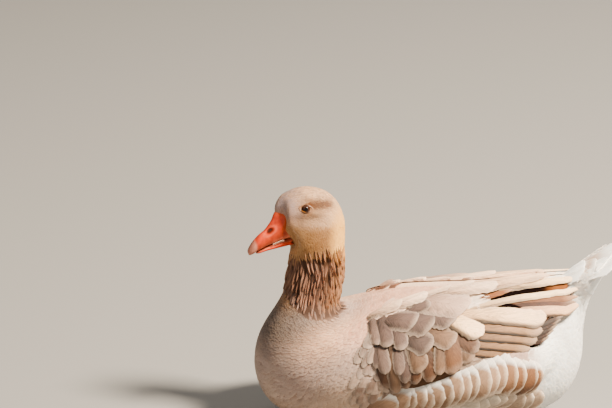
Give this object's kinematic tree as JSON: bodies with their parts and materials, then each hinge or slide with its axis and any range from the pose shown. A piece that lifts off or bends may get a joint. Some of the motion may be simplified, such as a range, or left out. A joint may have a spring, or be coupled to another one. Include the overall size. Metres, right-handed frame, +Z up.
{
  "type": "goose figure",
  "caption": "Life-size buff goose at rest as if afloat, on its belly with folded wings, raised head, short cocked tail and feet tucked under.",
  "frame": {"origin": "on the flat of the belly, on the bird's middle plane, half way along its length", "axes": "+Z up, -X the way the bird looks, -Y its left side"},
  "size_m": [0.5225, 0.2664, 0.341],
  "materials": {
    "buff_feathers": "soft matte feathers, buff with pale edges",
    "pale_feathers": "soft matte feathers, pale buff",
    "neck_feathers": "furrowed matte feathers, brown",
    "white_feathers": "soft matte feathers, white",
    "orange_bill": "smooth satin horn, orange, with a pale pinkish nail",
    "brown_eye": "wet gloss, dark brown",
    "orange_skin": "scaled satin skin, orange"
  },
  "bodies": {
    "root": {"head": "buff_feathers", "eye_left": "brown_eye", "eye_right": "brown_eye", "bill_upper": "orange_bill", "bill_lower": "orange_bill", "neck": "neck_feathers", "torso": "pale_feathers", "flank_left": "pale_feathers", "flank_right": "pale_feathers", "wing_left": "buff_feathers", "wing_right": "buff_feathers", "tail": "white_feathers", "leg_left": "orange_skin", "leg_right": "orange_skin"}
  },
  "joints": []
}
